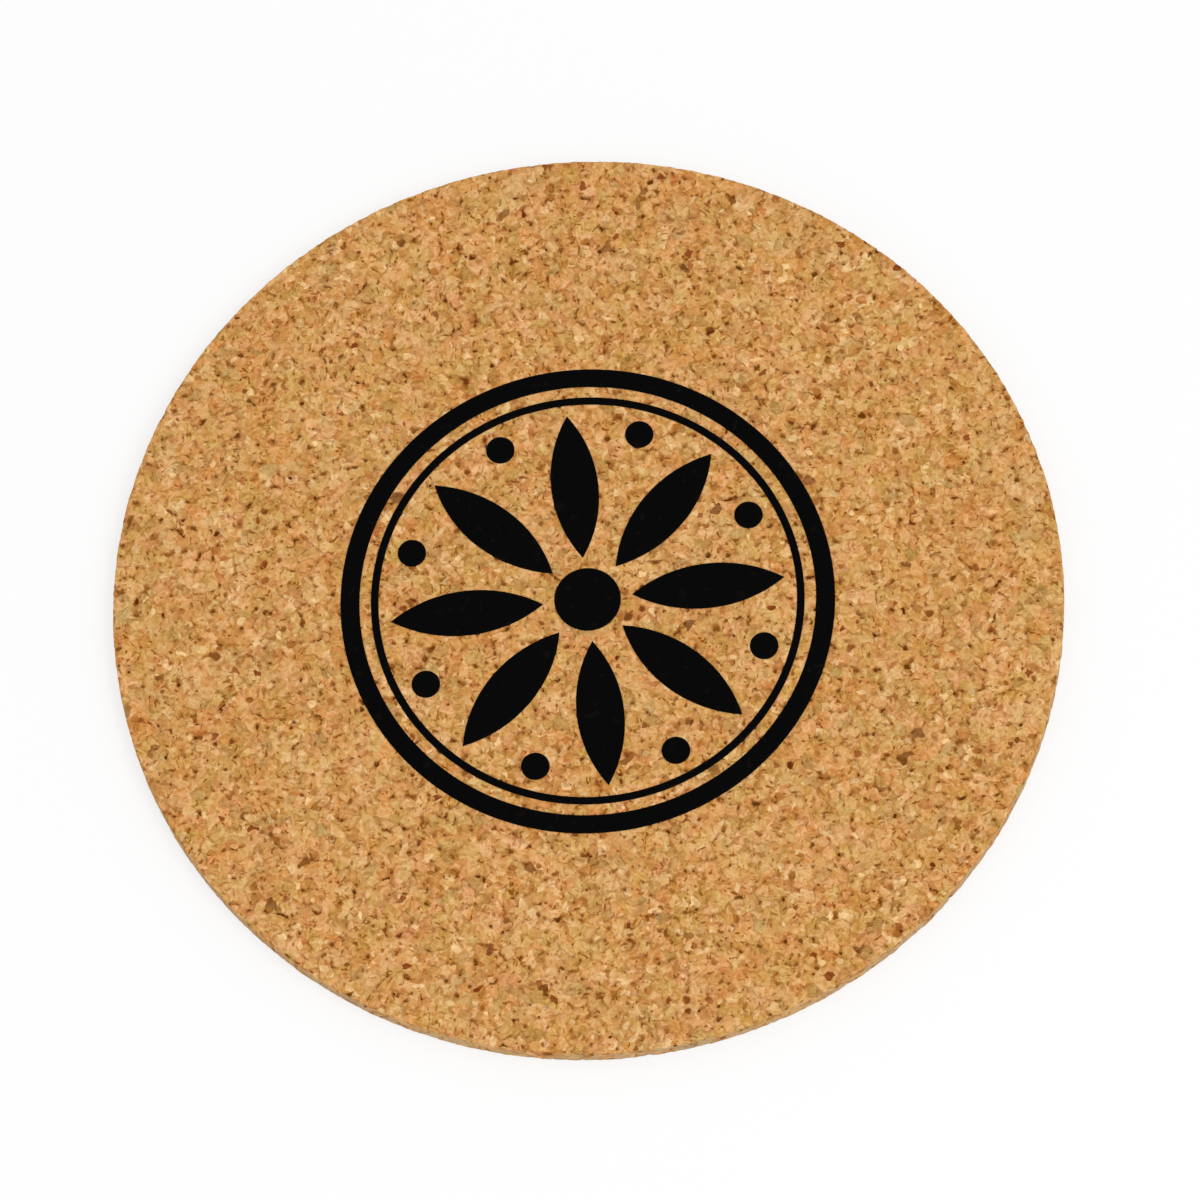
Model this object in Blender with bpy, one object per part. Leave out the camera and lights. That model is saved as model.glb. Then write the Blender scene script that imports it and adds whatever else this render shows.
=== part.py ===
"""Round cork coaster: a die-cut disc of pressed cork granules with a printed rosette on its top face.

Metres, +Z up. The origin is the middle of the underside, which rests on the table.
"""

import math

import bmesh
import bpy

# Driving dimensions of the cork disc
COASTER_DIAMETER = 0.100
COASTER_THICKNESS = 0.0025
EDGE_ROUND = 0.0002

# Driving dimensions of the print
INK_THICKNESS = 0.00006
PRINT_DIAMETER = 0.052
OUTER_RING_LINE = 0.0020
INNER_RING_LINE = 0.0008
RING_SPACING = 0.0012
HUB_DIAMETER = 0.0070
PETAL_COUNT = 8
PETAL_WIDTH = 0.0050
PETAL_TIP_CLEARANCE = 0.0012
DOT_DIAMETER = 0.0030
DOT_CLEARANCE = 0.0012

# How finely round shapes are divided
DISC_SEGMENTS = 192
EDGE_SEGMENTS = 3
RING_SEGMENTS = 128
HUB_SEGMENTS = 64
DOT_SEGMENTS = 40
PETAL_ARC_SEGMENTS = 16

# Sizes that follow from the driving dimensions
OUTER_RING_RADIUS = PRINT_DIAMETER / 2
OUTER_RING_BORE = OUTER_RING_RADIUS - OUTER_RING_LINE
INNER_RING_RADIUS = OUTER_RING_BORE - RING_SPACING
INNER_RING_BORE = INNER_RING_RADIUS - INNER_RING_LINE
PETAL_INNER_TIP = HUB_DIAMETER / 2 + PETAL_TIP_CLEARANCE
PETAL_OUTER_TIP = INNER_RING_BORE - PETAL_TIP_CLEARANCE
DOT_CIRCLE_RADIUS = INNER_RING_BORE - DOT_CLEARANCE - DOT_DIAMETER / 2
PETAL_STEP = 2 * math.pi / PETAL_COUNT

# Finishes: linear base colour and roughness
CORK_COLOUR = (0.58, 0.29, 0.095, 1.0)
CORK_ROUGHNESS = 0.9
INK_COLOUR = (0.01, 0.01, 0.01, 1.0)
INK_ROUGHNESS = 0.6

SMOOTH_LIMIT = math.radians(35)


def clear_scene():
    for thing in list(bpy.data.objects):
        bpy.data.objects.remove(thing, do_unlink=True)


def make_material(name, colour, roughness):
    material = bpy.data.materials.new(name)
    material.use_nodes = True
    shader = material.node_tree.nodes["Principled BSDF"]
    shader.inputs["Base Color"].default_value = colour
    shader.inputs["Roughness"].default_value = roughness
    shader.inputs["Metallic"].default_value = 0.0
    return material


def make_object(name, shape, material, parent=None):
    """Turn a bmesh into a named object that is smooth except at sharp edges."""
    mesh = bpy.data.meshes.new(name)
    shape.to_mesh(mesh)
    shape.free()
    mesh.materials.append(material)
    mesh.shade_smooth()
    mesh.set_sharp_from_angle(angle=SMOOTH_LIMIT)
    thing = bpy.data.objects.new(name, mesh)
    bpy.context.scene.collection.objects.link(thing)
    thing.parent = parent
    return thing


def make_cork_disc(material):
    """The die-cut disc, with both of its edges slightly rounded."""
    shape = bmesh.new()
    bmesh.ops.create_cone(
        shape,
        cap_ends=True,
        segments=DISC_SEGMENTS,
        radius1=COASTER_DIAMETER / 2,
        radius2=COASTER_DIAMETER / 2,
        depth=COASTER_THICKNESS,
    )
    bmesh.ops.translate(shape, verts=shape.verts, vec=(0, 0, COASTER_THICKNESS / 2))
    disc = make_object("cork_disc", shape, material)
    edge = disc.modifiers.new("edge_round", "BEVEL")
    edge.width = EDGE_ROUND
    edge.segments = EDGE_SEGMENTS
    edge.limit_method = "ANGLE"
    edge.angle_limit = SMOOTH_LIMIT
    return disc


def make_print_origin():
    """An empty on the middle of the top face, which carries the whole print."""
    origin = bpy.data.objects.new("print_origin", None)
    origin.location = (0, 0, COASTER_THICKNESS)
    bpy.context.scene.collection.objects.link(origin)
    return origin


def make_film(name, shape, material, origin):
    """A flat ink shape, drawn face up on the cork and thickened upwards."""
    bmesh.ops.recalc_face_normals(shape, faces=shape.faces)
    if next(iter(shape.faces)).normal.z < 0:
        bmesh.ops.reverse_faces(shape, faces=shape.faces)
    film = make_object(name, shape, material, origin)
    body = film.modifiers.new("film", "SOLIDIFY")
    body.thickness = INK_THICKNESS
    body.offset = 1.0
    return film


def make_ring(name, radius, bore, material, origin):
    shape = bmesh.new()
    for size in (radius, bore):
        bmesh.ops.create_circle(shape, segments=RING_SEGMENTS, radius=size)
    bmesh.ops.bridge_loops(shape, edges=shape.edges[:])
    return make_film(name, shape, material, origin)


def make_spot(name, diameter, segments, material, origin):
    shape = bmesh.new()
    bmesh.ops.create_circle(shape, cap_ends=True, segments=segments, radius=diameter / 2)
    return make_film(name, shape, material, origin)


def petal_outline():
    """Points round a petal, which is the space between two equal arcs that meet at its tips."""
    half_length = (PETAL_OUTER_TIP - PETAL_INNER_TIP) / 2
    half_width = PETAL_WIDTH / 2
    middle = PETAL_INNER_TIP + half_length
    arc_radius = (half_length**2 + half_width**2) / (2 * half_width)
    half_angle = math.asin(half_length / arc_radius)
    points = []
    for side in (1, -1):
        for step in range(PETAL_ARC_SEGMENTS):
            angle = half_angle * (1 - 2 * step / PETAL_ARC_SEGMENTS)
            along = side * arc_radius * math.sin(angle)
            across = side * (arc_radius * math.cos(angle) - arc_radius + half_width)
            points.append((middle + along, across, 0))
    return points


def make_petal(number, material, origin):
    shape = bmesh.new()
    shape.faces.new([shape.verts.new(point) for point in petal_outline()])
    petal = make_film(f"print_petal_{number}", shape, material, origin)
    petal.rotation_euler.z = (number - 1) * PETAL_STEP
    return petal


def make_dot(number, material, origin):
    """A dot in the space between the outer tips of two petals."""
    dot = make_spot(f"print_dot_{number}", DOT_DIAMETER, DOT_SEGMENTS, material, origin)
    angle = (number - 1) * PETAL_STEP + PETAL_STEP / 2
    dot.location.x = DOT_CIRCLE_RADIUS * math.cos(angle)
    dot.location.y = DOT_CIRCLE_RADIUS * math.sin(angle)
    return dot


def make_print(material):
    origin = make_print_origin()
    make_ring("print_ring_outer", OUTER_RING_RADIUS, OUTER_RING_BORE, material, origin)
    make_ring("print_ring_inner", INNER_RING_RADIUS, INNER_RING_BORE, material, origin)
    make_spot("print_hub", HUB_DIAMETER, HUB_SEGMENTS, material, origin)
    for number in range(1, PETAL_COUNT + 1):
        make_petal(number, material, origin)
        make_dot(number, material, origin)


def main():
    clear_scene()
    make_cork_disc(make_material("cork", CORK_COLOUR, CORK_ROUGHNESS))
    make_print(make_material("black_ink", INK_COLOUR, INK_ROUGHNESS))


main()
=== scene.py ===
import math
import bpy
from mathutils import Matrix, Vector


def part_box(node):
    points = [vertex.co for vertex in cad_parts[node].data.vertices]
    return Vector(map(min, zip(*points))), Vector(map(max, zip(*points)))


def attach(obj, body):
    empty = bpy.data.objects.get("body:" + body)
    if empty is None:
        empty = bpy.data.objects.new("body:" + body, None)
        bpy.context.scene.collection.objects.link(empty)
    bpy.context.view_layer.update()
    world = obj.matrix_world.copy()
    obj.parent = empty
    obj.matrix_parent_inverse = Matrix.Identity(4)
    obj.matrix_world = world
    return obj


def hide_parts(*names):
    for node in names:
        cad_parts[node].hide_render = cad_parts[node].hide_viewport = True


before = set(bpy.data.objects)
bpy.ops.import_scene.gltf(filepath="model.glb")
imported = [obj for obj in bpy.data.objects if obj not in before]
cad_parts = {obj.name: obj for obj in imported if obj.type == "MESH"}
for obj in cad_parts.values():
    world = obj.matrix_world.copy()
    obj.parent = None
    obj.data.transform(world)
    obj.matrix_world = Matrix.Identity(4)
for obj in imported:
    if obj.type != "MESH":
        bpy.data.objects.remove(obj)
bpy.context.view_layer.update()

from types import SimpleNamespace

import bmesh
import bpy
import numpy as np
from mathutils import Color, Matrix, Vector
from mathutils.geometry import area_tri, delaunay_2d_cdt
from mathutils.kdtree import KDTree

# The disc's sizes, in metres, from the frame
DISC_NODE = "cork_disc"
DISC_LOW, DISC_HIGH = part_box(DISC_NODE)
RADIUS = (DISC_HIGH.x - DISC_LOW.x) / 2
TOP = DISC_HIGH.z
FLAT_RADIUS = max(
    math.hypot(vertex.co.x, vertex.co.y)
    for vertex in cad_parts[DISC_NODE].data.vertices
    if vertex.co.z >= TOP
)
EDGE_ROUND = RADIUS - FLAT_RADIUS

# The ink films' nodes in the frame, and how the pieces that replace them are named
INK_NODE_START = "print_"
INK_PIECE_START = "ink_"
INK_NODES = sorted(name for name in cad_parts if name.startswith(INK_NODE_START))

# The camera, fitted to the disc's outline in the photograph
PHOTO_WIDTH_PX = 1200
PHOTO_DISC_WIDTH_PX = 952.2
PHOTO_TOP_CENTRE_PX = (587.6, 599.4)
VIEW_ELEVATION = math.radians(69.45)
VIEW_ROLL = math.radians(-6.5)
VIEW_DISTANCE = 1.0

# Light and floor
WHITE = (1.0, 1.0, 1.0, 1.0)
SKY_STRENGTH = 0.72
KEY_POWER = 3.4
KEY_SIZE = 0.6
KEY_PLACE = (0.35, -0.35, 0.85)
FLOOR_COLOUR = (0.98, 0.98, 0.98, 1.0)
FLOOR_GLOW = 0.7
FLOOR_HALF_WIDTH = 3.0
FLOOR_CLEARANCE = 0.00005

# How finely the meshes are divided
DISC_CELLS = 480
EDGE_ROWS = 3
WALL_ROWS = 12
CORK_TRIANGLES = 195000
INK_CELL = 0.0003  # in metres

# Limits in the making of the ink films
WELD = 1e-7  # points of a CAD film that are closer than this are one point
FACE_UP = 0.5  # a face whose normal rises less than this is a side or the underside of a film
HULL_TRIANGLES = 0  # the kind of triangulation that fills the whole hull of its points
NEARNESS = 1e-9  # the tolerance of that triangulation
SLIVER = 1e-11  # a triangle with less area than this is left out

# Sizes of the cork's structure, in metres
GRANULE = 0.0012
CRUMB = 0.0007
STREAK = 0.0017
BEND_SIZE = 0.0010
BEND = 0.0009
CREVICE_SIZE = 0.0009
HOLE_SPACING = 0.0015
GRAIN_WIDTH = 0.0004
GRAIN_LENGTH = 0.0010
DASH_WIDTH = 0.00045
DASH_LENGTH = 0.0009
RAGGED_SIZE = 0.0007

# How many finer layers the noise has that draws the grain and the dashes
GRAIN_DETAIL = 3.0
DASH_DETAIL = 1.0

# Crevices and stains along the seams between granules, and round holes
CREVICE_LEVEL = 0.662  # the noise level where crevices start
CREVICE_GROWTH = 7.0  # how fast they widen above it
STAIN_LEVEL = 0.47
STAIN_GROWTH = 2.0
HOLE_RARITY = 4.5  # how rare large holes are
HOLE_REACH = 0.54  # the radius of the largest, as a share of HOLE_SPACING
HAIRLINE = 0.0001  # the least width of a gap, which hardly shows
CORE_SHARE = 0.15  # the share of a gap's width that is fully open

# Depths of the cork's relief, in metres
PIT_DEPTH = 0.00028
WALL_PIT_DEPTH = 0.00010
LEVEL_DEPTH = 0.00005
RAGGED_DEPTH = 0.00020

# The mean level of noise
NOISE_MIDDLE = 0.5

# The attribute that keeps each point's position on the smooth shape, from before the relief
REST = "rest"

# How much each part of the pattern counts in the granules' tone, hue and richness
GRANULE_SHARE = 0.24
CRUMB_SHARE = 0.21
GRAIN_SHARE = 1.1
DASH_SHARE = -0.5
TONE_SHIFT = -0.22
STREAK_SHARE = 0.6
RICHNESS_SPREAD = 0.06

# The levels between which a dash, a chip or a pit's dark colour, deepened with painted shade, goes from
# none to full
DASH_EDGE = (0.63, 0.71)
CHIP_EDGE = (0.94, 0.98)
BARK_EDGE = (0.994, 1.0)
PIT_TINT_AND_SHADE_EDGE = (0.15, 0.7)

# How strongly each tint covers the granules' colour
CREAM_MOST = 0.6
RUST_MOST = 0.45
OLIVE_MOST = 0.35
BARK_MOST = 0.85
STAIN_MOST = 0.5
CHIP_CONTRAST = 0.6  # how far the grain darkens or lightens a chip

# The grey of the wall
WALL_MEAN = 0.48  # how strongly it covers the granules' colour
WALL_SPREAD = 0.5  # how far that varies from granule to granule
WALL_FULL_HEIGHT = 0.6  # the share of the disc's height below which it is full

# Gloss and roughness, and the height of the fine bumps in metres
CORK_ROUGHNESS = 0.85
CORK_SPECULAR = 0.04
CORK_BUMP = 0.00006
INK_ROUGHNESS_EDGE = (-0.5, 1.5)  # the levels of the grain at which roughness would be 0 and 1
INK_SPECULAR = 0.02
INK_BUMP = 0.00004
BUMP_STRENGTH = 0.3

# Ink film: how far it follows the cork's relief, and its height and thickness in metres
INK_SHARE = 0.15
INK_LIFT = 0.00005
INK_BODY = 0.00010
INK_SIDE = -1.0  # all of the thickness lies below the film's top

# The map for exported textures: each face as a disc, and the wall in strips
MAP_NAME = "OFBake"
MAP_TOP_CENTRE = (0.36, 0.36)
MAP_TOP_RADIUS = 0.355
MAP_UNDERSIDE_CENTRE = (0.775, 0.775)
MAP_UNDERSIDE_RADIUS = 0.22
MAP_STRIPS = 6
MAP_STRIPS_CORNER = (0.01, 0.76)
MAP_STRIP_STEP = 0.035

# Sockets of a mix node that take and give colours
MIX_FIRST = 6
MIX_SECOND = 7
MIX_RESULT = 2

# The highest value of a colour in a picture
PICTURE_FULL = 255


def shown(red, green, blue):
    """A linear colour from the values that a picture shows."""
    colour = Color([value / PICTURE_FULL for value in (red, green, blue)])
    return (*colour.from_srgb_to_scene_linear(), 1.0)


# Colours of the cork and the ink
YELLOW_CORK = (shown(138, 90, 30), shown(199, 155, 83), shown(239, 202, 136))
ORANGE_CORK = (shown(145, 77, 30), shown(216, 146, 84), shown(249, 196, 144))
CREAM = shown(246, 207, 150)
RUST = shown(180, 92, 36)
OLIVE = shown(150, 124, 68)
RED_BARK = shown(122, 46, 8)
BROWN_BARK = shown(110, 60, 16)
WALL_GREY = shown(186, 166, 130)
STAIN = shown(152, 90, 30)
# The pits' colours: the brown of the cork's pores, deepened with painted shade
RED_PIT_AND_SHADE = shown(110, 42, 2)
BROWN_PIT_AND_SHADE = shown(92, 56, 8)
PALE_PIT_AND_SHADE = shown(190, 124, 56)
INK_BLACK = shown(4, 4, 4)
INK_IN_PITS = shown(14, 11, 9)


class Graph:
    """A node tree being built."""

    def __init__(self, tree):
        self.tree = tree

    def feed(self, node, inputs):
        """Fill a node's inputs: one given as a socket is linked, and any other value is set."""
        for key, value in inputs.items():
            if isinstance(value, bpy.types.NodeSocket):
                self.tree.links.new(value, node.inputs[key])
            else:
                node.inputs[key].default_value = value

    def add(self, kind, inputs, **settings):
        node = self.tree.nodes.new(kind)
        for name, value in settings.items():
            setattr(node, name, value)
        self.feed(node, inputs)
        return node

    def math(self, operation, first, second=0.0):
        return self.add("ShaderNodeMath", {0: first, 1: second}, operation=operation).outputs[0]

    def vector(self, operation, inputs):
        return self.add("ShaderNodeVectorMath", inputs, operation=operation).outputs

    def parts(self, vector):
        return self.add("ShaderNodeSeparateXYZ", {0: vector}).outputs

    def weighed(self, *pairs):
        """The sum of each value times its weight."""
        total = 0.0
        for value, weight in pairs:
            inputs = {0: value, 1: weight, 2: total}
            total = self.add("ShaderNodeMath", inputs, operation="MULTIPLY_ADD").outputs[0]
        return total

    def step(self, value, start, end):
        """0 before start and 1 after end, with a smooth rise between them."""
        limits = {"Value": value, "From Min": start, "From Max": end}
        return self.add("ShaderNodeMapRange", limits, interpolation_type="SMOOTHSTEP").outputs[0]

    def noise(self, position, size, detail=1.0):
        inputs = {"Vector": position, "Scale": 1 / size, "Detail": detail}
        return self.add("ShaderNodeTexNoise", inputs).outputs

    def cells(self, position, size, feature="F1"):
        inputs = {"Vector": position, "Scale": 1 / size}
        return self.add("ShaderNodeTexVoronoi", inputs, feature=feature).outputs

    def strokes(self, position, turn, width, length, detail):
        """Noise drawn out into strokes that lie at a different angle in each cell."""
        inputs = {"Vector": position, "Angle": self.math("MULTIPLY", turn, math.tau)}
        turned = self.add("ShaderNodeVectorRotate", inputs, rotation_type="Z_AXIS").outputs[0]
        squeezed = self.vector("MULTIPLY", {0: turned, 1: (width / length, 1, 1)})[0]
        return self.noise(squeezed, width, detail)[0]

    def bend(self, position, size, amount):
        """The position pushed about by noise, so that cells get uneven outlines."""
        push = self.noise(position, size)["Color"]
        return self.vector("MULTIPLY_ADD", {0: push, 1: (amount, amount, amount), 2: position})[0]

    def opening(self, distance, width):
        """1 in the core of a gap, falling to 0 at its width, and 0 where it has no width."""
        width = self.math("MAXIMUM", width, HAIRLINE)
        return self.step(distance, width, self.math("MULTIPLY", width, CORE_SHARE))

    def tint(self, share, first, second):
        """A colour that goes from the first to the second as the share goes from 0 to 1."""
        inputs = {0: share, MIX_FIRST: first, MIX_SECOND: second}
        return self.add("ShaderNodeMix", inputs, data_type="RGBA").outputs[MIX_RESULT]

    def shaded(self, colour, value, contrast):
        """The colour, darker where the value is below a half and lighter where it is above."""
        dark = [part * (1 - contrast) for part in colour[:3]]
        light = [part * (1 + contrast) for part in colour[:3]]
        return self.tint(value, (*dark, 1.0), (*light, 1.0))

    def ramp(self, value, colours):
        """A colour that runs through evenly spaced colours as the value runs from 0 to 1."""
        node = self.add("ShaderNodeValToRGB", {0: value})
        stops = node.color_ramp.elements
        while len(stops) < len(colours):
            stops.new(1.0)
        for number, colour in enumerate(colours):
            stops[number].position = number / (len(colours) - 1)
            stops[number].color = colour
        return node.outputs["Color"]

    def rest(self):
        """The position on the smooth shape, from before the relief."""
        return self.add("ShaderNodeAttribute", {}, attribute_name=REST).outputs["Vector"]

    def bump(self, height, distance):
        inputs = {"Height": height, "Strength": BUMP_STRENGTH, "Distance": distance}
        return self.add("ShaderNodeBump", inputs).outputs[0]

    def seen(self):
        """1 for what the camera sees, directly or in a reflection or through glass, and 0 for light."""
        path = self.add("ShaderNodeLightPath", {}).outputs
        mirrored = self.math("MAXIMUM", path["Is Glossy Ray"], path["Is Transmission Ray"])
        return self.math("MAXIMUM", path["Is Camera Ray"], mirrored)


def cork_pattern(graph, position):
    """Where granules, crevices and holes lie. The relief and the colours both read this, so they agree."""
    bent = graph.bend(position, BEND_SIZE, BEND)
    near = graph.cells(bent, GRANULE)
    far = graph.cells(bent, GRANULE, "F2")
    seam = graph.math("SUBTRACT", far["Distance"], near["Distance"])
    patchy = graph.noise(position, CREVICE_SIZE)[0]
    crevice_width = graph.weighed((patchy, CREVICE_GROWTH), (CREVICE_LEVEL, -CREVICE_GROWTH))
    stain_width = graph.weighed((patchy, STAIN_GROWTH), (STAIN_LEVEL, -STAIN_GROWTH))
    crevice = graph.opening(seam, crevice_width)
    hole = graph.cells(bent, HOLE_SPACING)
    chance = graph.parts(hole["Color"])[0]
    reach = graph.math("MULTIPLY", graph.math("POWER", chance, HOLE_RARITY), HOLE_REACH)
    granule = graph.parts(near["Color"])
    crumb = graph.parts(graph.cells(bent, CRUMB)["Color"])
    dashes = graph.strokes(position, granule[0], DASH_WIDTH, DASH_LENGTH, DASH_DETAIL)
    level = graph.vector("MULTIPLY", {0: position, 1: (1, 1, 0)})[0]
    return SimpleNamespace(
        granule=granule,
        crumb=crumb,
        streak=graph.parts(graph.cells(bent, STREAK)["Color"]),
        pit=graph.math("MAXIMUM", crevice, graph.opening(hole["Distance"], reach)),
        stain=graph.opening(seam, stain_width),
        grain=graph.strokes(position, crumb[0], GRAIN_WIDTH, GRAIN_LENGTH, GRAIN_DETAIL),
        dash=graph.step(dashes, *DASH_EDGE),
        wall=graph.step(graph.vector("LENGTH", {0: level})["Value"], FLAT_RADIUS, RADIUS),
    )


def relief_depth(graph, position):
    """How deep the cork's surface lies under its smooth shape. Pits are shallower on the wall."""
    pattern = cork_pattern(graph, position)
    uneven = graph.math("SUBTRACT", graph.noise(position, RAGGED_SIZE)[0], NOISE_MIDDLE)
    return graph.weighed(
        (pattern.pit, PIT_DEPTH),
        (graph.math("MULTIPLY", pattern.pit, pattern.wall), WALL_PIT_DEPTH - PIT_DEPTH),
        (pattern.granule[0], LEVEL_DEPTH),
        (graph.math("MULTIPLY", uneven, pattern.wall), RAGGED_DEPTH),
    )


def relief_group():
    """Geometry nodes that press the cork's relief into a mesh and keep its smooth position."""
    tree = bpy.data.node_groups.new("cork_relief", "GeometryNodeTree")
    tree.interface.new_socket("Geometry", in_out="INPUT", socket_type="NodeSocketGeometry")
    tree.interface.new_socket("Share", in_out="INPUT", socket_type="NodeSocketFloat")
    tree.interface.new_socket("Lift", in_out="INPUT", socket_type="NodeSocketFloat")
    tree.interface.new_socket("Geometry", in_out="OUTPUT", socket_type="NodeSocketGeometry")
    graph = Graph(tree)
    given = graph.add("NodeGroupInput", {}).outputs
    position = graph.add("GeometryNodeInputPosition", {}).outputs[0]
    normal = graph.add("GeometryNodeInputNormal", {}).outputs[0]
    depth = graph.math("MULTIPLY", relief_depth(graph, position), given["Share"])
    height = graph.math("SUBTRACT", given["Lift"], depth)
    offset = graph.vector("SCALE", {0: normal, "Scale": height})[0]
    keep = {"Geometry": given["Geometry"], "Name": REST, "Value": position}
    kept = graph.add("GeometryNodeStoreNamedAttribute", keep, data_type="FLOAT_VECTOR").outputs[0]
    moved = graph.add("GeometryNodeSetPosition", {"Geometry": kept, "Offset": offset}).outputs[0]
    graph.add("NodeGroupOutput", {0: moved})
    return tree


def press_relief(thing, group, share, lift):
    """Press a share of the relief into an object's mesh, and lift the mesh off its smooth shape."""
    modifier = thing.modifiers.new("relief", "NODES")
    modifier.node_group = group
    values = {"Share": share, "Lift": lift}
    for socket in group.interface.items_tree:
        if socket.name in values:
            modifier[socket.identifier] = values[socket.name]


def apply_modifiers(thing):
    """Make what an object's modifiers give into its mesh."""
    depsgraph = bpy.context.evaluated_depsgraph_get()
    given = thing.evaluated_get(depsgraph)
    mesh = bpy.data.meshes.new_from_object(given, preserve_all_data_layers=True, depsgraph=depsgraph)
    thing.modifiers.clear()
    thing.data = mesh


def new_piece(name, points, faces, material):
    mesh = bpy.data.meshes.new(name)
    mesh.from_pydata(points, [], faces)
    mesh.shade_smooth()
    mesh.materials.append(material)
    thing = bpy.data.objects.new(name, mesh)
    bpy.context.scene.collection.objects.link(thing)
    return thing


def disc_grid(count, radius):
    """x and y of a square grid's points, spread evenly over a disc."""
    side = np.linspace(-1, 1, count + 1)
    across, along = np.meshgrid(side, side)
    wide = np.abs(across) > np.abs(along)
    reach = np.where(wide, across, along)
    other = np.where(wide, along, across)
    turn = np.pi / 4 * np.divide(other, reach, out=np.zeros_like(reach), where=reach != 0)
    angle = np.where(wide, turn, np.pi / 2 - turn)
    return radius * reach * np.cos(angle), radius * reach * np.sin(angle)


def rim_indices(count):
    """Indices of the grid's outer points, in order round the rim."""
    index = np.arange((count + 1) ** 2).reshape(count + 1, count + 1)
    return np.concatenate([index[:-1, -1], index[-1, :0:-1], index[:0:-1, 0], index[0, :-1]])


def wall_profile():
    """(radius, height) down the wall, from the edge of the top face to the edge of the underside."""
    upper = []
    for angle in np.linspace(0, np.pi / 2, EDGE_ROWS + 1):
        radius = FLAT_RADIUS + EDGE_ROUND * np.sin(angle)
        height = TOP - EDGE_ROUND * (1 - np.cos(angle))
        upper.append((radius, height))
    lower = [(radius, TOP - height) for radius, height in reversed(upper)]
    heights = np.linspace(TOP - EDGE_ROUND, EDGE_ROUND, WALL_ROWS + 1)[1:-1]
    return upper + [(RADIUS, height) for height in heights] + lower


def at_height(flat, height):
    """Points from their x and y and one height."""
    return np.column_stack([flat, np.full(len(flat), height)])


def band_faces(above, below):
    """Faces between two loops of points round the wall."""
    return np.stack([above, below, np.roll(below, -1), np.roll(above, -1)], axis=1)


def cork_mesh():
    """Points and faces of the disc: a grid on each face, joined by rows round the wall."""
    x, y = disc_grid(DISC_CELLS, FLAT_RADIUS)
    flat = np.stack([x.ravel(), y.ravel()], axis=1)
    count = len(flat)
    rim = rim_indices(DISC_CELLS)
    outward = flat[rim] / FLAT_RADIUS
    rows = [at_height(outward * radius, height) for radius, height in wall_profile()[1:-1]]
    points = np.concatenate([at_height(flat, TOP), at_height(flat, 0.0), *rows])
    index = np.arange(count).reshape(x.shape)
    corners = (index[:-1, :-1], index[:-1, 1:], index[1:, 1:], index[1:, :-1])
    quads = np.stack([corner.ravel() for corner in corners], axis=1)
    starts = [2 * count + row * len(rim) for row in range(len(rows))]
    loops = [rim, *(start + np.arange(len(rim)) for start in starts), count + rim]
    walls = [band_faces(above, below) for above, below in zip(loops[:-1], loops[1:])]
    faces = np.concatenate([quads, count + quads[:, ::-1], *walls])
    return points.tolist(), faces.tolist()


def corner_places(mesh):
    """Where the corners of each triangle lie on the smooth disc."""
    rest = np.empty(3 * len(mesh.vertices), np.float32)
    mesh.attributes[REST].data.foreach_get("vector", rest)
    corner = np.empty(len(mesh.loops), np.int32)
    mesh.loops.foreach_get("vertex_index", corner)
    return rest.reshape(-1, 3)[corner].reshape(-1, 3, 3)


def wall_map(places):
    """Places of the wall's triangles on the map: strips of the circumference, one above another."""
    middle = places.mean(axis=1)
    middle_angle = np.arctan2(middle[:, 1], middle[:, 0])[:, None]
    strip_angle = 2 * np.pi / MAP_STRIPS
    strip = np.floor(middle_angle / strip_angle)
    angle = np.arctan2(places[..., 1], places[..., 0])
    angle = middle_angle + (angle - middle_angle + np.pi) % (2 * np.pi) - np.pi
    along = (angle - strip * strip_angle) * MAP_TOP_RADIUS
    row = strip + MAP_STRIPS / 2
    up = row * MAP_STRIP_STEP + places[..., 2] / RADIUS * MAP_TOP_RADIUS
    return np.stack([along, up], axis=-1) + MAP_STRIPS_CORNER


def lay_map(mesh):
    """The map for exported textures: both faces as discs, and the wall as strips beside them."""
    places = corner_places(mesh)
    normal = np.cross(places[:, 1] - places[:, 0], places[:, 2] - places[:, 0])
    steep = normal[:, 2] ** 2 < (normal[:, :2] ** 2).sum(axis=1)
    flat = places[..., :2] / RADIUS
    top = flat * MAP_TOP_RADIUS + MAP_TOP_CENTRE
    under = flat * (-MAP_UNDERSIDE_RADIUS, MAP_UNDERSIDE_RADIUS) + MAP_UNDERSIDE_CENTRE
    face = np.where(normal[:, None, None, 2] > 0, top, under)
    spots = np.where(steep[:, None, None], wall_map(places), face)
    layer = mesh.uv_layers.new(name=MAP_NAME)
    layer.data.foreach_set("uv", spots.astype(np.float32).ravel())


def make_cork(group):
    """The cork disc. Its fine mesh takes the relief, and is then thinned out where it is level."""
    points, faces = cork_mesh()
    cork = new_piece("cork", points, faces, cork_material())
    press_relief(cork, group, share=1.0, lift=0.0)
    triangles = 2 * len(faces)
    thin = cork.modifiers.new("thin", "DECIMATE")
    thin.ratio = CORK_TRIANGLES / triangles
    thin.use_collapse_triangulate = True
    apply_modifiers(cork)
    lay_map(cork.data)
    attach(cork, "root")
    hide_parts(DISC_NODE)


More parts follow.
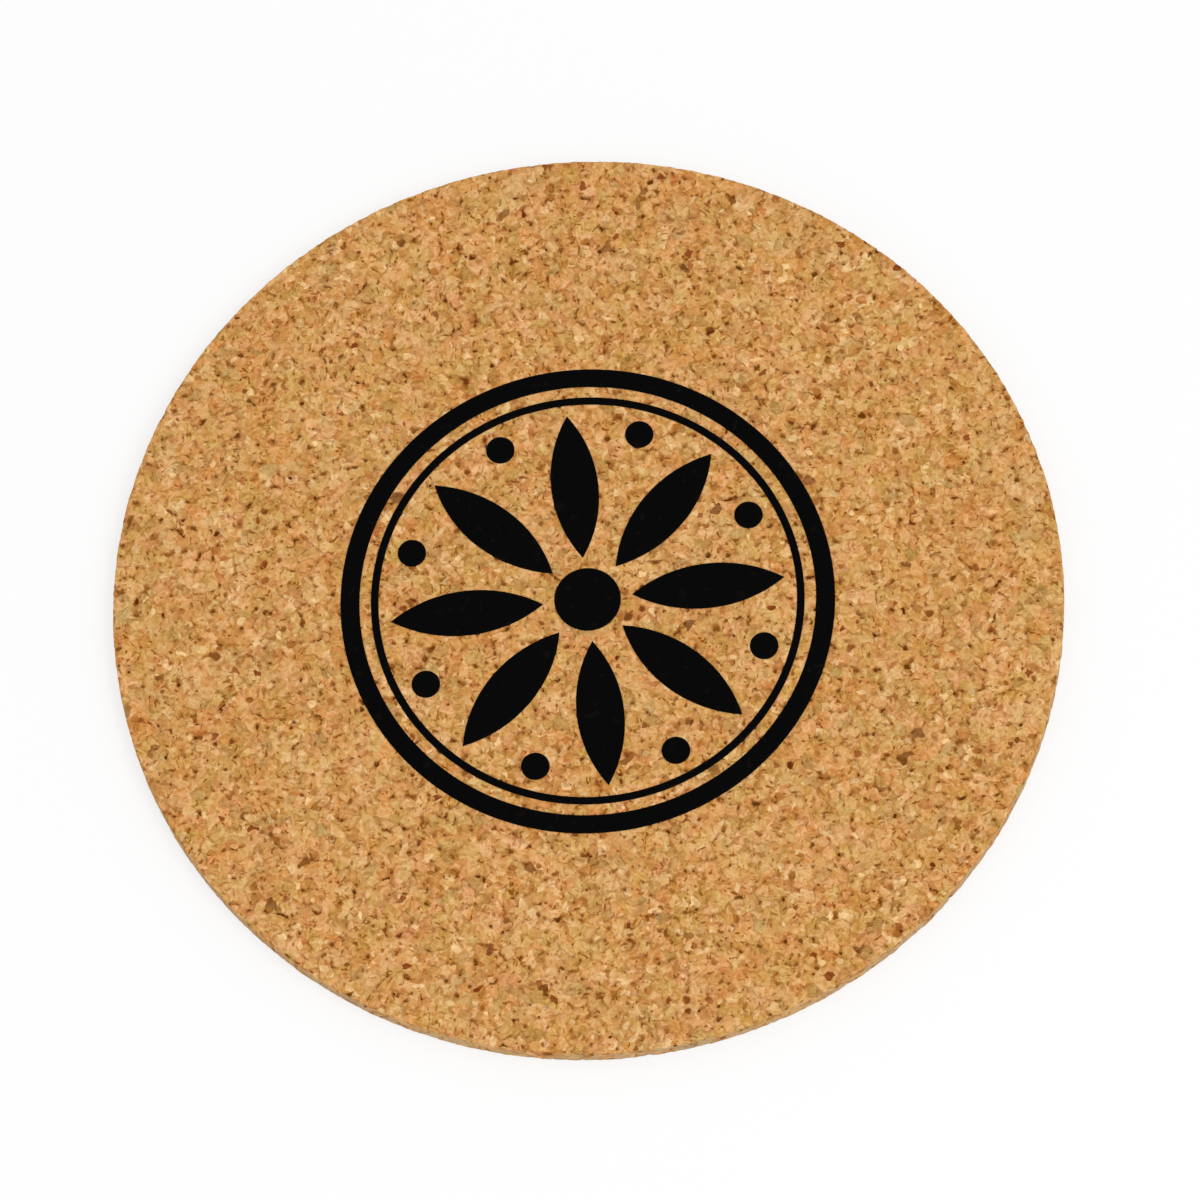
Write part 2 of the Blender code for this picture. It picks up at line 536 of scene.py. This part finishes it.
def film_outline(node):
    """(points, edges) round the top of a CAD ink film, with no edge longer than INK_CELL."""
    shape = bmesh.new()
    shape.from_mesh(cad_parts[node].data)
    bmesh.ops.remove_doubles(shape, verts=shape.verts, dist=WELD)
    others = [face for face in shape.faces if face.normal.z < FACE_UP]
    bmesh.ops.delete(shape, geom=others, context="FACES")
    border = [edge for edge in shape.edges if edge.is_boundary]
    points = []
    number = {}
    for edge in border:
        for vertex in edge.verts:
            if vertex not in number:
                number[vertex] = len(points)
                points.append(vertex.co.to_2d())
    links = []
    for edge in border:
        first, last = edge.verts
        cuts = math.ceil(edge.calc_length() / INK_CELL)
        chain = [number[first], *range(len(points), len(points) + cuts - 1), number[last]]
        points += [first.co.to_2d().lerp(last.co.to_2d(), cut / cuts) for cut in range(1, cuts)]
        links += zip(chain[:-1], chain[1:])
    shape.free()
    return points, links


def inside(places, outline, links):
    """Which places lie inside an outline: a line from such a place crosses it an odd number of times."""
    x, y = np.transpose(places)
    odd = np.zeros(len(places), bool)
    for first, last in links:
        (ax, ay), (bx, by) = outline[first], outline[last]
        if ay != by:
            odd ^= ((ay > y) != (by > y)) & (x < ax + (y - ay) * (bx - ax) / (by - ay))
    return odd


def lattice(low, high):
    """Points INK_CELL apart in even triangles, over a box."""
    rise = INK_CELL * math.sqrt(3) / 2
    points = []
    for row in range(int((high.y - low.y) / rise) + 1):
        start = low.x + (row % 2) * INK_CELL / 2
        for column in range(int((high.x - start) / INK_CELL) + 1):
            points.append(Vector((start + column * INK_CELL, low.y + row * rise)))
    return points


def inner_points(node, outline, links):
    """Lattice points that lie inside an ink film's outline and clear of it."""
    rim = KDTree(len(outline))
    for number, point in enumerate(outline):
        rim.insert(point.to_3d(), number)
    rim.balance()
    points = lattice(*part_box(node))
    within = [point for point, good in zip(points, inside(points, outline, links)) if good]
    clear = []
    for point in within:
        _, _, distance = rim.find(point.to_3d())
        if distance > INK_CELL / 2:
            clear.append(point)
    return clear


def film_mesh(node):
    """Points and faces of a finely divided sheet inside a CAD ink film's outline."""
    outline, links = film_outline(node)
    places = outline + inner_points(node, outline, links)
    points, _, triangles, *_ = delaunay_2d_cdt(places, links, [], HULL_TRIANGLES, NEARNESS, False)
    corners = [[points[corner] for corner in face] for face in triangles]
    centres = [sum(spots, Vector((0, 0))) / len(spots) for spots in corners]
    broad = [area_tri(*spots) > SLIVER for spots in corners]
    kept = inside(centres, outline, links) & broad
    faces = [face for face, good in zip(triangles, kept) if good]
    used = sorted({corner for face in faces for corner in face})
    number = {corner: place for place, corner in enumerate(used)}
    faces = [[number[corner] for corner in face] for face in faces]
    return [(points[corner].x, points[corner].y, TOP) for corner in used], faces


def make_ink(node, group, material):
    """The ink film of one CAD node, laid over the granules and a little way into the pits."""
    points, faces = film_mesh(node)
    ink = new_piece(node.replace(INK_NODE_START, INK_PIECE_START), points, faces, material)
    press_relief(ink, group, INK_SHARE, INK_LIFT)
    body = ink.modifiers.new("body", "SOLIDIFY")
    body.thickness = INK_BODY
    body.offset = INK_SIDE
    apply_modifiers(ink)
    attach(ink, "root")
    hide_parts(node)


def new_material(name):
    material = bpy.data.materials.new(name)
    material.use_nodes = True
    return material, Graph(material.node_tree), material.node_tree.nodes["Principled BSDF"]


def granule_colour(graph, pattern):
    """Yellow to orange with a granule's hue, and dark to light with its tone."""
    tone = graph.weighed(
        (pattern.granule[1], GRANULE_SHARE),
        (pattern.crumb[1], CRUMB_SHARE),
        (pattern.grain, GRAIN_SHARE),
        (pattern.dash, DASH_SHARE),
        (TONE_SHIFT, 1.0),
    )
    hue = graph.weighed((pattern.streak[0], STREAK_SHARE), (pattern.granule[2], 1 - STREAK_SHARE))
    colour = graph.tint(hue, graph.ramp(tone, YELLOW_CORK), graph.ramp(tone, ORANGE_CORK))
    richness = graph.weighed((pattern.streak[1], RICHNESS_SPREAD), (1 - RICHNESS_SPREAD / 2, 1.0))
    inputs = {"Saturation": richness, "Color": colour}
    return graph.add("ShaderNodeHueSaturation", inputs).outputs[0]


def add_chips(graph, pattern, colour):
    """Some crumbs and granules are chips of another colour, shaded by the grain."""
    chips = (
        (pattern.crumb[2], CHIP_EDGE, CREAM_MOST, CREAM),
        (pattern.crumb[0], CHIP_EDGE, RUST_MOST, RUST),
        (pattern.granule[0], CHIP_EDGE, OLIVE_MOST, OLIVE),
        (pattern.crumb[0], BARK_EDGE, BARK_MOST, RED_BARK),
        (pattern.granule[2], BARK_EDGE, BARK_MOST, BROWN_BARK),
    )
    for value, edge, most, chip in chips:
        share = graph.math("MULTIPLY", graph.step(value, *edge), most)
        colour = graph.tint(share, colour, graph.shaded(chip, pattern.grain, CHIP_CONTRAST))
    return colour


def grey_wall(graph, pattern, height, colour):
    """The wall is greyer than the top face, more in some granules than in others."""
    low = graph.step(height, TOP, TOP * WALL_FULL_HEIGHT)
    mottle = graph.weighed((pattern.granule[0], WALL_SPREAD), (WALL_MEAN - WALL_SPREAD / 2, 1.0))
    share = graph.math("MULTIPLY", graph.math("MULTIPLY", pattern.wall, low), mottle)
    return graph.tint(share, colour, WALL_GREY)


def stain_seams_and_shade_pits(graph, pattern, colour):
    """Stains run along the seams between granules, and crevices and holes are dark: the brown of the
    cork's pores, deepened with painted shade.
    """
    colour = graph.tint(graph.math("MULTIPLY", pattern.stain, STAIN_MOST), colour, STAIN)
    deep = graph.tint(pattern.streak[2], RED_PIT_AND_SHADE, BROWN_PIT_AND_SHADE)
    dark = graph.tint(pattern.crumb[1], deep, PALE_PIT_AND_SHADE)
    return graph.tint(graph.step(pattern.pit, *PIT_TINT_AND_SHADE_EDGE), colour, dark)


def cork_material():
    """Bare pressed cork, matt, with a fine grain."""
    material, graph, shader = new_material("cork")
    rest = graph.rest()
    pattern = cork_pattern(graph, rest)
    colour = granule_colour(graph, pattern)
    colour = add_chips(graph, pattern, colour)
    colour = grey_wall(graph, pattern, graph.parts(rest)[2], colour)
    colour = stain_seams_and_shade_pits(graph, pattern, colour)
    surface = {
        "Base Color": colour,
        "Roughness": CORK_ROUGHNESS,
        "Specular IOR Level": CORK_SPECULAR,
        "Normal": graph.bump(pattern.grain, CORK_BUMP),
    }
    graph.feed(shader, surface)
    return material


def ink_material():
    """Black ink, a little paler over the pits, with a finish that varies with the grain."""
    material, graph, shader = new_material("ink")
    pattern = cork_pattern(graph, graph.rest())
    surface = {
        "Base Color": graph.tint(pattern.pit, INK_BLACK, INK_IN_PITS),
        "Roughness": graph.step(pattern.grain, *INK_ROUGHNESS_EDGE),
        "Specular IOR Level": INK_SPECULAR,
        "Normal": graph.bump(pattern.grain, INK_BUMP),
    }
    graph.feed(shader, surface)
    return material


def floor_material():
    """White, partly of its own light to the camera, so that the object's shadow is faint."""
    material, graph, shader = new_material("floor")
    graph.feed(shader, {"Base Color": FLOOR_COLOUR, "Roughness": 1.0, "Specular IOR Level": 0.0})
    glow = graph.add("ShaderNodeEmission", {"Color": WHITE, "Strength": 1.0}).outputs[0]
    share = graph.math("MULTIPLY", graph.seen(), FLOOR_GLOW)
    mixed = graph.add("ShaderNodeMixShader", {0: share, 1: shader.outputs[0], 2: glow}).outputs[0]
    graph.feed(material.node_tree.nodes["Material Output"], {"Surface": mixed})
    return material


def make_floor():
    half = FLOOR_HALF_WIDTH
    corners = [(-half, -half, 0), (half, -half, 0), (half, half, 0), (-half, half, 0)]
    floor = new_piece("floor", corners, [(0, 1, 2, 3)], floor_material())
    floor.location.z = -FLOOR_CLEARANCE


def make_world():
    """Soft light from all round, seen by the camera as plain white."""
    world = bpy.data.worlds.new("studio")
    bpy.context.scene.world = world
    world.use_nodes = True
    graph = Graph(world.node_tree)
    strength = graph.weighed((graph.seen(), 1 - SKY_STRENGTH), (SKY_STRENGTH, 1.0))
    graph.feed(world.node_tree.nodes["Background"], {"Color": WHITE, "Strength": strength})


def make_key_light():
    """A large lamp above the front right, aimed at the coaster."""
    data = bpy.data.lights.new("key", "AREA")
    data.size = KEY_SIZE
    data.energy = KEY_POWER
    light = bpy.data.objects.new("key", data)
    light.location = KEY_PLACE
    light.rotation_euler = (-light.location).to_track_quat("-Z", "Y").to_euler()
    bpy.context.scene.collection.objects.link(light)


def make_camera():
    """A long lens above the front of the coaster, turned and panned as the photograph is."""
    data = bpy.data.cameras.new("camera")
    camera = bpy.data.objects.new("camera", data)
    bpy.context.scene.collection.objects.link(camera)
    px_per_metre = PHOTO_DISC_WIDTH_PX / (2 * RADIUS)
    data.lens = data.sensor_width * px_per_metre * VIEW_DISTANCE / PHOTO_WIDTH_PX
    pan_right = (PHOTO_WIDTH_PX / 2 - PHOTO_TOP_CENTRE_PX[0]) / px_per_metre
    pan_up = (PHOTO_TOP_CENTRE_PX[1] - PHOTO_WIDTH_PX / 2) / px_per_metre
    turn = Matrix.Rotation(math.pi / 2 - VIEW_ELEVATION, 4, "X") @ Matrix.Rotation(VIEW_ROLL, 4, "Z")
    target = Matrix.Translation((0, 0, TOP))
    camera.matrix_world = target @ turn @ Matrix.Translation((pan_right, pan_up, VIEW_DISTANCE))
    bpy.context.scene.camera = camera


def main():
    bpy.context.scene.view_settings.view_transform = "Standard"
    make_camera()
    make_world()
    make_key_light()
    make_floor()
    group = relief_group()
    make_cork(group)
    ink = ink_material()
    for node in INK_NODES:
        make_ink(node, group, ink)


main()
